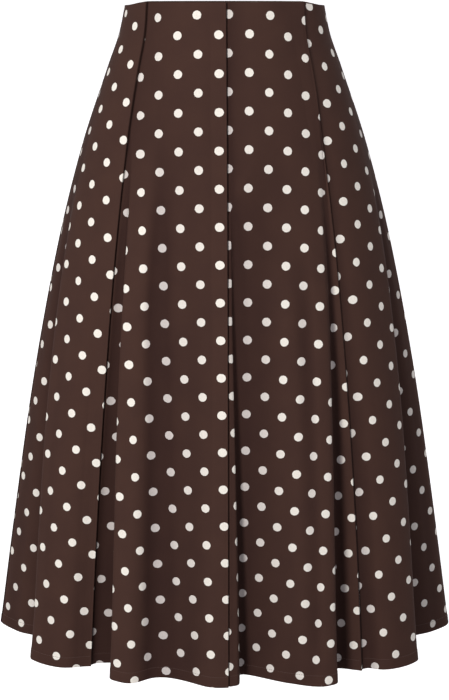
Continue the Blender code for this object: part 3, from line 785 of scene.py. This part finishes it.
def painted_shade_of(grid):
    """Painted shade and light: how far each place lies below the cloth to either side of it, 0 on a
    crest, where light is painted, and 1 in a deep hollow, with painted shade added beside the seam's
    ledge.
    """
    span = SEAM_PLACES[grid.gore + 1] - SEAM_PLACES[grid.gore]
    aside = HOLLOW_REACH * span / grid.length
    here, _, normal = frame_on(grid.around, grid.drop)
    beside = (surface(grid.around - aside, grid.drop) + surface(grid.around + aside, grid.drop)) / 2
    below = np.sum((beside - here) * normal, axis=-1)
    height = relief(grid)
    for row, (along, heights) in enumerate(zip(grid.along, height)):
        for way in (-HOLLOW_REACH, HOLLOW_REACH):
            below[row] += (np.interp(along + way, along, heights) - heights) / 2
    # Painted shade beside the ledge of the seam before this gore, standing in for the ledge's shadow
    before = LEDGES[grid.gore]
    down = grid.drop / DROP
    spread = at_drop(SHADE_HIGH, before.shade_low, smooth(down, *SHADE_WIDENS))
    painted_dark_beside_ledge = before.shade * bump(grid.along, spread) * smooth(down, *SHADE_BEGINS)
    # Painted shade in the hollows, and painted light where the place stands on a crest
    painted_dark_in_hollow = (below - HOLLOW_CREST) / (HOLLOW_DEEP - HOLLOW_CREST)
    return np.clip(painted_dark_in_hollow + painted_dark_beside_ledge, 0, MOST_PAINTED_DARK)


def thickness(grid):
    """One layer, and one more at the seam allowances and the turned edges."""
    left = smooth_at(grid.along, ALLOWANCE, FINE_BLUR)
    right = smooth_at(grid.length - grid.along, ALLOWANCE, FINE_BLUR)
    hem = smooth_at(DROP - grid.drop, HEM_TURN, TURN_BLUR)
    waist = smooth_at(grid.drop, WAIST_TURN, TURN_BLUR)
    turned = 1 - left * right * hem * waist
    return THICKNESS + TURN_THICKNESS * turned, turned


def opened(grid):
    """How far the cloth stands back from its seams, at the pocket's mouth and at the slider."""
    share = (grid.drop - POCKET_MOUTH_TOP) / (POCKET_MOUTH_BOTTOM - POCKET_MOUTH_TOP)
    mouth = POCKET_MOUTH_GAPE / 2 * np.sin(math.pi * np.clip(share, 0, 1))
    stem = STEM_GAPE * (1 - smooth(np.abs(grid.drop - SLIDER_DROP) - STEM_LENGTH / 2, *STEM_CLEAR))
    at_first = {0: mouth, 6: stem}.get(grid.gore, 0 * mouth)
    at_last = {7: mouth, 5: stem}.get(grid.gore, 0 * mouth)
    near_first = np.exp(-grid.along / OPENING_FADE)
    near_last = np.exp(-(grid.length - grid.along) / OPENING_FADE)
    return (at_first + SEAM_TOUCH) * near_first - (at_last + SEAM_TOUCH) * near_last


def faces_of(grid):
    """The outer and inner face of the cloth over this grid, and where a second layer lies."""
    place, tangent, normal = frame_on(grid.around, grid.drop)
    out = level_step(normal)
    place = place + tangent * opened(grid)[..., None]
    thick, turned = thickness(grid)
    height = relief(grid)
    radius = thick / 2 + 0.0001
    rounded = radius * (quarter_round(grid.drop, radius) + quarter_round(DROP - grid.drop, radius))
    sagging = WAIST_SAG * smooth(np.abs(place[..., 0]), *WAIST_SAG_ACROSS)
    sagging = sagging * (1 - smooth(grid.drop, 0.0, WAIST_SAG_DOWN))
    place = place - sagging[..., None] * (0, 0, 1)
    outer = place + out * (height - rounded)[..., None]
    inner = place + out * (height - thick + rounded)[..., None]
    return outer, inner, turned


def make_gore(gore, finish):
    grid = grid_on(gore, gore_rows(), gore_columns)
    outer, inner, turned = faces_of(grid)
    vertices = np.concatenate([outer.reshape(-1, 3), inner.reshape(-1, 3)])
    piece = add_mesh(f"{GORES[gore]}_cloth", vertices, shell_faces(*grid.drop.shape), finish)
    places, roundness = print_and_roundness(gore, grid.around, grid.drop)
    add_uv(piece, np.stack([places, places]))
    add_value(piece, "roundness", np.stack([roundness, roundness]), "FLOAT_VECTOR", "vector")
    below_waist = smooth_at(grid.drop, WAIST_ROLL, FINE_BLUR)
    folded = turned * (grid.drop > WAIST_TURN + TURN_BLUR)
    add_value(piece, "shown", np.stack([np.ones_like(turned), folded]))
    # Painted shade in the seam grooves, on the outer face only
    painted_groove_shade = [bump(grid.along, GROOVE_PAINTED_SHADE_WIDTHS[0]), bump(grid.length - grid.along, GROOVE_PAINTED_SHADE_WIDTHS[1])]
    painted_groove_shade = np.maximum(*painted_groove_shade)
    add_value(piece, "painted_groove_shade", np.stack([painted_groove_shade, 0 * painted_groove_shade]))
    # Painted shade in the hollows and beside the seams' ledges and painted light on the crests; the inner
    # face gets an even painted shade
    hollow = painted_shade_of(grid)
    add_value(piece, "shade_painted", np.stack([hollow, 0 * hollow + INNER_PAINTED_SHADE]))
    inner_dots = WRONG_SIDE_DOTS + (1 - WRONG_SIDE_DOTS) * folded
    add_value(piece, "dotted", np.stack([below_waist, below_waist * inner_dots]))
    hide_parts(GORES[gore])
    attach(piece, "skirt")
    return piece


# --- stitches ---


def capsules(centre, along, out, length, radius):
    """Vertices and faces of one rounded rod for each centre, lying along its own direction."""
    sides = 6
    rings = ((-0.5, 0.0), (-0.47, 0.6), (-0.38, 1.0), (0.38, 1.0), (0.47, 0.6), (0.5, 0.0))
    third = np.cross(along, out)
    vertices = []
    for place, wide in rings:
        for angle in np.linspace(0, 2 * math.pi, sides, endpoint=False):
            spoke = out * (wide * radius * math.cos(angle)) + third * (wide * radius * math.sin(angle))
            vertices.append(centre + along * (place * length) + spoke)
    vertices = np.stack(vertices, 1)
    ring, side = np.divmod(np.arange((len(rings) - 1) * sides), sides)
    a = ring * sides + side
    b = ring * sides + (side + 1) % sides
    cells = np.stack([a, b, b + sides, a + sides], 1)
    faces = cells + vertices.shape[1] * np.arange(len(centre))[:, None, None]
    return vertices.reshape(-1, 3), faces.reshape(-1, 4)


def make_hem_stitches(gore, finish):
    """The row of stitches that holds the turned hem, on the outside of the cloth."""
    count = int(CUTS[gore].width / STITCH_PITCH) - 1
    share = np.linspace(0, 1, 2 * count + 1)[None]
    grid = grid_on(
        gore,
        np.array([DROP - STITCH_UP]),
        lambda length: STITCH_MARGIN + (length - 2 * STITCH_MARGIN) * share,
    )
    line = faces_of(grid)[0][0]
    normal = frame_on(grid.around, grid.drop)[2][0, 1::2]
    along = unit(line[2::2] - line[:-2:2])
    out = unit(normal - along * np.sum(normal * along, axis=1, keepdims=True))
    vertices, faces = capsules(line[1::2] + out * THREAD_OUT, along, out, STITCH_LENGTH, THREAD_RADIUS)
    piece = add_mesh(f"{GORES[gore]}_hem_stitches", vertices, faces, finish, 80)
    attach(piece, "skirt")
    return piece


# --- pocket bag and zip ---


def make_shell(name, around, drop, depth, finish):
    """A thin closed shell over a grid of places, its outer face this deep inside the plain surface."""
    around, drop, depth = np.broadcast_arrays(around, drop, depth)
    place, _, normal = frame_on(around, drop)
    out = level_step(normal)
    vertices = np.stack([place - out * (depth + inside)[..., None] for inside in (0.0, LINING_THICKNESS)])
    piece = add_mesh(name, vertices.reshape(-1, 3), shell_faces(*drop.shape), finish)
    down, across = lengths_along(place), lengths_along(place, 1)
    add_uv(piece, np.stack([np.stack([across, down], -1)] * 2))
    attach(piece, "skirt")
    return piece, float(across[:, -1].max()), float(down[-1].max())


def sheet_area(piece):
    """Half the area of a closed thin shell."""
    areas = np.empty(len(piece.data.polygons), np.float32)
    piece.data.polygons.foreach_get("area", areas)
    return float(areas.sum()) / 2


def make_pocket_layer(name, hem_side, depth_at, pinch, finish):
    """One layer of the pocket bag, pinched together by this much at its edge."""
    drops = np.linspace(POCKET_BAG[0].drop, POCKET_BAG[-1].drop, BAG_GRID[0])
    reach = between(drops, column(POCKET_BAG, "drop"), column(POCKET_BAG, "reach"))
    edge = POCKET_MOUTH_GAPE / 2 + SEAM_GAP
    under_front = edge + (reach[:, None] - edge) * np.linspace(0, 1, BAG_GRID[1])
    distance = np.hstack([np.tile(hem_side, (len(drops), 1)), under_front])
    around = np.array([around_at(0.0, drop, row) for drop, row in zip(drops, distance)])
    from_end = np.minimum(drops - drops[0], drops[-1] - drops)[:, None]
    pinched = 1 - smooth(np.minimum(reach[:, None] - distance, from_end), *BAG_PINCHED)
    turn = distance * BAG_WAVES[0] + drops[:, None] * BAG_WAVES[1]
    soft = BAG_WAVE * np.sin(turn) * (1 - pinched)
    depth = depth_at(distance) + pinch * pinched * smooth(distance, 0.0, 0.015)
    depth = depth + soft * smooth(distance, 0.01, 0.03)
    piece, width, length = make_shell(name + "_cloth", around, drops[:, None], depth, finish)
    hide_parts(name)
    area = min(sheet_area(piece), width * length)


def front_layer_depth(distance):
    """Close to the front gore at the seam, and a little further from it inside the bag."""
    return WALL + SEAM_GAP + (POCKET_GAP - SEAM_GAP) * np.clip(distance / POCKET_ALLOWANCE, 0, 1)


def back_layer_depth(distance):
    """Close to the back gore before the seam, and under the front layer past it."""
    deeper = np.clip((distance + POCKET_ALLOWANCE) / (0.8 * POCKET_ALLOWANCE), 0, 1)
    return front_layer_depth(distance) + (POCKET_WALL + SEAM_GAP) * deeper


def make_zip_tape(name, side, finish):
    """One tape of the zip: side is 1 on the wearer's right, -1 on their left."""
    drops = np.linspace(ZIP_TOP, ZIP_BOTTOM, TAPE_GRID[0])
    share = np.linspace(0, 1, TAPE_GRID[1])
    distance = side * (ZIP_COIL_HALF_WIDTH + ZIP_TAPE_WIDTH * share)[::side]
    around = np.array([around_at(CENTRE_BACK, drop, distance) for drop in drops])
    piece, width, length = make_shell(name + "_cloth", around, drops[:, None], WALL + SEAM_GAP, finish)
    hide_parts(name)


def make_zip_coil(finish):
    """Teeth of the coil, one set on each tape, meeting behind the seam."""
    drops = np.arange(*COIL_ENDS, TOOTH_PITCH)
    place, tangent, normal = frame_on(np.full_like(drops, CENTRE_BACK), drops)
    place = place - level_step(normal) * (WALL + SEAM_GAP + LINING_THICKNESS)
    aside = tangent * TOOTH_ASIDE
    centre = np.concatenate([place - aside, place + aside - (0, 0, TOOTH_PITCH / 2)])
    tangent, normal = np.tile(tangent, (2, 1)), np.tile(normal, (2, 1))
    vertices, faces = capsules(centre, tangent, normal, TOOTH_LENGTH, TOOTH_RADIUS)
    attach(add_mesh("zip_coil", vertices, faces, finish, 80), "skirt")


# --- materials ---


def set_all(thing, **settings):
    for name, value in settings.items():
        setattr(thing, name, value)
    return thing


class Nodes:
    """A material's node tree, with a short way to add a node and link its inputs."""

    def __init__(self, name):
        self.material = bpy.data.materials.new(name)
        self.material.use_nodes = True
        self.tree = self.material.node_tree
        self.shader = self.tree.nodes["Principled BSDF"]

    def add(self, kind, inputs=(), **settings):
        node = set_all(self.tree.nodes.new(kind), **settings)
        for name, value in dict(inputs).items():
            self.put(node, name, value)
        return node

    def put(self, node, name, value):
        if isinstance(value, bpy.types.NodeSocket):
            self.tree.links.new(value, node.inputs[name])
        else:
            node.inputs[name].default_value = value

    def maths(self, operation, *values, clamp=False):
        node = self.add("ShaderNodeMath", enumerate(values), operation=operation, use_clamp=clamp)
        return node.outputs[0]

    def vector(self, operation, *values):
        node = self.add("ShaderNodeVectorMath", enumerate(values), operation=operation)
        return node.outputs["Value" if operation == "DOT_PRODUCT" else "Vector"]

    def noise(self, vector, scale, detail=2.0, roughness=0.5):
        values = {"Vector": vector, "Scale": scale, "Detail": detail, "Roughness": roughness}
        return self.add("ShaderNodeTexNoise", values).outputs["Fac"]

    def range(self, value, low, high, to_low, to_high, kind="LINEAR"):
        values = {"Value": value, "From Min": low, "From Max": high, "To Min": to_low, "To Max": to_high}
        return self.add("ShaderNodeMapRange", values, interpolation_type=kind, clamp=True).outputs[0]

    def mix(self, factor, first, second, blend="MIX"):
        values = {0: factor, 6: first, 7: second}
        return self.add("ShaderNodeMix", values, data_type="RGBA", blend_type=blend).outputs[2]

    def mottled(self, noise, first, second, low=0.3, high=0.7):
        """A mix of two colours that follows the middle of a noise's range."""
        return self.mix(self.range(noise, low, high, 0.0, 1.0), first, second)

    def shaded(self, colour, shade):
        return self.mix(1.0, colour, self.vector("MULTIPLY", (1.0, 1.0, 1.0), shade), "MULTIPLY")

    def value_of(self, attribute, output="Fac"):
        return self.add("ShaderNodeAttribute", attribute_name=attribute).outputs[output]

    def print_map(self):
        return self.add("ShaderNodeUVMap", uv_map="print").outputs["UV"]

    def object_places(self):
        return self.add("ShaderNodeTexCoord").outputs["Object"]

    def bump(self, height, distance, strength=1.0):
        values = {"Height": height, "Distance": distance, "Strength": strength}
        return self.add("ShaderNodeBump", values).outputs[0]

    def finish(self, **sockets):
        for name, value in sockets.items():
            self.put(self.shader, name.replace("_", " "), value)
        return self.material


CLOTH_BROWN = (0.0590, 0.0290, 0.0228, 1.0)
CLOTH_DEEP = (0.0520, 0.0256, 0.0210, 1.0)
DOT_WHITE = (0.880, 0.838, 0.792, 1.0)
DOT_MOTTLE = (0.800, 0.752, 0.706, 1.0)
WRONG_BROWN = (0.0640, 0.0370, 0.0300, 1.0)
# Painted shade in the seam grooves: a near-black brown and how strongly it is mixed in
GROOVE_PAINTED_SHADE_COLOUR = (0.006, 0.003, 0.003, 1.0)
GROOVE_SHADE = 0.65
# Painted light on the crests and painted shade in the hollows, multiplied into the cloth's colour
CREST_PAINTED_LIGHT = (1.02, 1.03, 1.00, 1.0)
HOLLOW_PAINTED_SHADE = (0.56, 0.53, 0.56, 1.0)
POCKETING_BROWNS = ((0.046, 0.027, 0.022, 1.0), (0.038, 0.022, 0.018, 1.0))
TAPE_BROWNS = ((0.036, 0.020, 0.016, 1.0), (0.030, 0.017, 0.013, 1.0))
THREAD_BROWNS = ((0.050, 0.026, 0.020, 1.0), (0.080, 0.045, 0.035, 1.0))
NYLON_BROWNS = ((0.040, 0.021, 0.016, 1.0), (0.055, 0.030, 0.024, 1.0))
ENAMEL_BROWNS = ((0.040, 0.020, 0.015, 1.0), (0.085, 0.055, 0.042, 1.0))
WEAVE_PITCH = 0.00062


def weave(nodes, places, pitch):
    """Height of a plain weave of this pitch, a little uneven."""
    wobble = nodes.noise(places, 900.0, 1.0)
    shifted = nodes.vector("ADD", places, nodes.vector("MULTIPLY", wobble, (0.0002, 0.0002, 0.0)))
    turned = nodes.vector("MULTIPLY", shifted, (2 * math.pi / pitch,) * 2 + (0.0,))
    split = nodes.add("ShaderNodeSeparateXYZ", {"Vector": turned})
    warp = nodes.maths("SINE", split.outputs["X"])
    weft = nodes.maths("SINE", split.outputs["Y"])
    return nodes.maths("MULTIPLY", warp, weft)


def on_cloth(nodes, step, roundness):
    """The length on the cloth of a step on the print."""
    split = nodes.add("ShaderNodeSeparateXYZ", {"Vector": step})
    x, y = split.outputs["X"], split.outputs["Y"]
    both = nodes.maths("MULTIPLY", nodes.maths("MULTIPLY", x, y), 2.0)
    squares = {"X": nodes.maths("MULTIPLY", x, x), "Y": both, "Z": nodes.maths("MULTIPLY", y, y)}
    joined = nodes.add("ShaderNodeCombineXYZ", squares).outputs["Vector"]
    return nodes.maths("SQRT", nodes.vector("DOT_PRODUCT", joined, roundness))


def printed_cloth():
    """The skirt's crepe: a weave with white dots on brown, faint on its wrong side, with painted shade in
    the seam grooves, in the hollows and beside the ledges, and painted light on the crests.
    """
    nodes = Nodes("dotted_crepe")
    places = nodes.print_map()
    far = (DOT_ACROSS, DOT_DOWN, 1.0)
    near = (-DOT_ACROSS, -DOT_DOWN, -1.0)
    roundness = nodes.value_of("roundness", "Vector")
    first = on_cloth(nodes, nodes.vector("WRAP", places, far, near), roundness)
    shifted = nodes.vector("ADD", places, (DOT_ACROSS, DOT_DOWN, 0.0))
    second = on_cloth(nodes, nodes.vector("WRAP", shifted, far, near), roundness)
    ragged = nodes.range(nodes.noise(places, 700.0), 0.3, 0.7, -DOT_BLUR, DOT_BLUR)
    distance = nodes.maths("ADD", nodes.maths("MINIMUM", first, second), ragged)
    dot = nodes.range(distance, DOT_RADIUS - DOT_BLUR, DOT_RADIUS + DOT_BLUR, 1.0, 0.0, "SMOOTHSTEP")
    white = nodes.mottled(nodes.noise(places, 420.0, 3.0, 0.6), DOT_WHITE, DOT_MOTTLE, 0.35, 0.75)
    ground = nodes.mottled(nodes.noise(places, 22.0, 3.0, 0.55), CLOTH_BROWN, CLOTH_DEEP)
    wrong_side = nodes.maths("SUBTRACT", 1.0, nodes.value_of("shown"), clamp=True)
    ground = nodes.mix(wrong_side, ground, WRONG_BROWN)
    colour = nodes.mix(nodes.maths("MULTIPLY", dot, nodes.value_of("dotted")), ground, white)
    # Painted shade in the seam grooves, darkening the colour towards a near-black brown
    groove = nodes.maths("MULTIPLY", nodes.value_of("painted_groove_shade"), GROOVE_SHADE)
    colour = nodes.mix(groove, colour, GROOVE_PAINTED_SHADE_COLOUR)
    # Painted light on the crests and painted shade in the hollows and beside the ledges
    painted_tone = nodes.mix(nodes.value_of("shade_painted"), CREST_PAINTED_LIGHT, HOLLOW_PAINTED_SHADE)
    colour = nodes.mix(1.0, colour, painted_tone, "MULTIPLY")
    threads = weave(nodes, places, WEAVE_PITCH)
    grain = nodes.noise(places, 1500.0, 2.0, 0.6)
    height = nodes.maths("ADD", nodes.maths("MULTIPLY", threads, 0.35), grain)
    colour = nodes.shaded(colour, nodes.range(height, 0.0, 1.2, 0.90, 1.08))
    normal = nodes.bump(height, 0.00007, 0.8)
    look = {"Roughness": 0.80, "Specular_IOR_Level": 0.05, "Sheen_Weight": 0.004, "Sheen_Roughness": 0.45}
    return nodes.finish(Base_Color=colour, Normal=normal, **look)


def plain_cloth(name, colour, deeper, pitch):
    nodes = Nodes(name)
    places = nodes.print_map()
    threads = weave(nodes, places, pitch)
    base = nodes.mottled(nodes.noise(places, 60.0, 3.0), colour, deeper)
    base = nodes.shaded(base, nodes.range(threads, -1.0, 1.0, 0.85, 1.10))
    normal = nodes.bump(threads, 0.00008, 0.9)
    gloss = {"Specular_IOR_Level": 0.25, "Sheen_Weight": 0.05}
    return nodes.finish(Base_Color=base, Normal=normal, Roughness=0.85, **gloss)


def speckled(name, scale, colours, depth, rough, specular):
    """A fine speckle of two colours, as on thread and nylon."""
    nodes = Nodes(name)
    spots = nodes.noise(nodes.object_places(), scale)
    colour, normal = nodes.mottled(spots, *colours), nodes.bump(spots, depth)
    return nodes.finish(Base_Color=colour, Normal=normal, Roughness=rough, Specular_IOR_Level=specular)


def enamel():
    """Brown paint on the slider and its pull, a little worn and speckled."""
    nodes = Nodes("brown_enamel")
    places = nodes.object_places()
    orange_peel = nodes.noise(places, 1800.0)
    worn = nodes.noise(places, 420.0, 4.0, 0.7)
    colour = nodes.mottled(worn, *ENAMEL_BROWNS, 0.62, 0.72)
    rough = nodes.range(orange_peel, 0.3, 0.7, 0.28, 0.42)
    normal = nodes.bump(orange_peel, 0.00003)
    gloss = {"Metallic": 0.20, "Coat_Weight": 0.2, "Coat_Roughness": 0.3}
    return nodes.finish(Base_Color=colour, Normal=normal, Roughness=rough, **gloss)


def floor_finish():
    nodes = Nodes("pale_floor")
    cloudy = nodes.noise(nodes.object_places(), 0.8, 3.0)
    colour = nodes.mix(cloudy, (0.93, 0.93, 0.93, 1.0), (0.91, 0.91, 0.91, 1.0))
    glow = {"Emission_Color": (1.0, 1.0, 1.0, 1.0), "Emission_Strength": 0.72}
    return nodes.finish(Base_Color=colour, Roughness=0.9, Specular_IOR_Level=0.1, **glow)


# --- the object ---

cloth = printed_cloth()
brown_thread = speckled("brown_thread", 2500.0, THREAD_BROWNS, 0.00005, rough=0.6, specular=0.4)
for number, cut in enumerate(CUTS):
    panel = make_gore(number, cloth)
    stitches = make_hem_stitches(number, brown_thread)

pocketing = plain_cloth("brown_pocketing", *POCKETING_BROWNS, 0.0007)
before_seam = -POCKET_ALLOWANCE * np.linspace(1.0, 0.05, 8)
make_pocket_layer("pocket_bag_front", [], front_layer_depth, 0.0004, pocketing)
make_pocket_layer("pocket_bag_back", before_seam, back_layer_depth, -0.0002, pocketing)

tape = plain_cloth("brown_tape", *TAPE_BROWNS, 0.0009)
make_zip_tape("zip_tape_left", -1, tape)
make_zip_tape("zip_tape_right", 1, tape)
make_zip_coil(speckled("brown_nylon", 900.0, NYLON_BROWNS, 0.00003, rough=0.42, specular=0.5))

metal = enamel()
for node in ("zip_slider", "zip_pull"):
    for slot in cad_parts[node].material_slots:
        slot.material = metal

# --- floor, light and camera ---

FLOOR_DROP = 2.2
FLOOR_RADIUS = 9.0
SWEEP_RADIUS = 4.0
WALL_TOP = 7.0


def studio_sweep():
    """A pale floor that curves up into a round wall."""
    bend = np.linspace(0, math.pi / 2, 13)
    flat = [0.01, 3.0, 6.0]
    radius = np.concatenate([flat, FLOOR_RADIUS + SWEEP_RADIUS * np.append(np.sin(bend), 1.0)])
    height = np.concatenate([0 * np.array(flat), SWEEP_RADIUS * (1 - np.cos(bend)), [WALL_TOP]])
    turn = np.linspace(0, 2 * math.pi, 97)
    up = height[:, None] - FLOOR_DROP + 0 * turn
    places = np.stack([radius[:, None] * np.cos(turn), radius[:, None] * np.sin(turn), up], -1)
    faces = [*quads(len(radius), len(turn)).tolist(), list(range(len(turn) - 1))]
    return add_mesh("floor", places.reshape(-1, 3), faces, floor_finish(), 180)


sweep = studio_sweep()
sweep.visible_diffuse = False

scene = bpy.context.scene
world = bpy.data.worlds.new("studio")
world.use_nodes = True
background = world.node_tree.nodes["Background"]
background.inputs["Color"].default_value = (1.0, 0.97, 1.03, 1.0)
background.inputs["Strength"].default_value = 0.32
scene.world = world


def add_object(name, data, place, turn):
    made = set_all(bpy.data.objects.new(name, data), location=place, rotation_euler=turn)
    scene.collection.objects.link(made)
    return made


def add_light(name, kind, place, towards, power, colour, **settings):
    light = set_all(bpy.data.lights.new(name, kind), energy=power, color=colour, **settings)
    turn = (Vector(place) - Vector(towards)).to_track_quat("Z", "Y").to_euler()
    add_object(name, light, place, turn)


KEY_PLACE = (-0.96, -2.13, 0.42)
WAIST = (0, 0, 0)
THIGH = (0, 0, -0.40)
SOFT = math.radians(40)
SOFTER = math.radians(50)
add_light("key", "AREA", KEY_PLACE, THIGH, 46.0, (1.0, 0.975, 0.94), shape="DISK", size=0.6)
add_light("fill", "SUN", (1.0, -0.10, 0.30), WAIST, 1.05, (1.0, 0.98, 0.98), angle=SOFTER)
add_light("behind", "SUN", (0.5, 2.0, 0.8), WAIST, 1.3, (1.0, 0.99, 0.98), angle=SOFT)
add_light("overhead", "SUN", (0, 0, 3), WAIST, 0.4, (1.0, 1.0, 1.0), angle=SOFT)

CAMERA_PLACE = (0.0, -2.0, 0.02)
CAMERA_DOWN_DEG = 13.46
view = bpy.data.cameras.new("camera")
set_all(view, sensor_width=36.0, lens=78.33, clip_start=0.05, clip_end=100.0)
turn = (math.radians(90 - CAMERA_DOWN_DEG), 0.0, 0.0)
scene.camera = add_object("camera", view, CAMERA_PLACE, turn)
scene.view_settings.view_transform = "Standard"
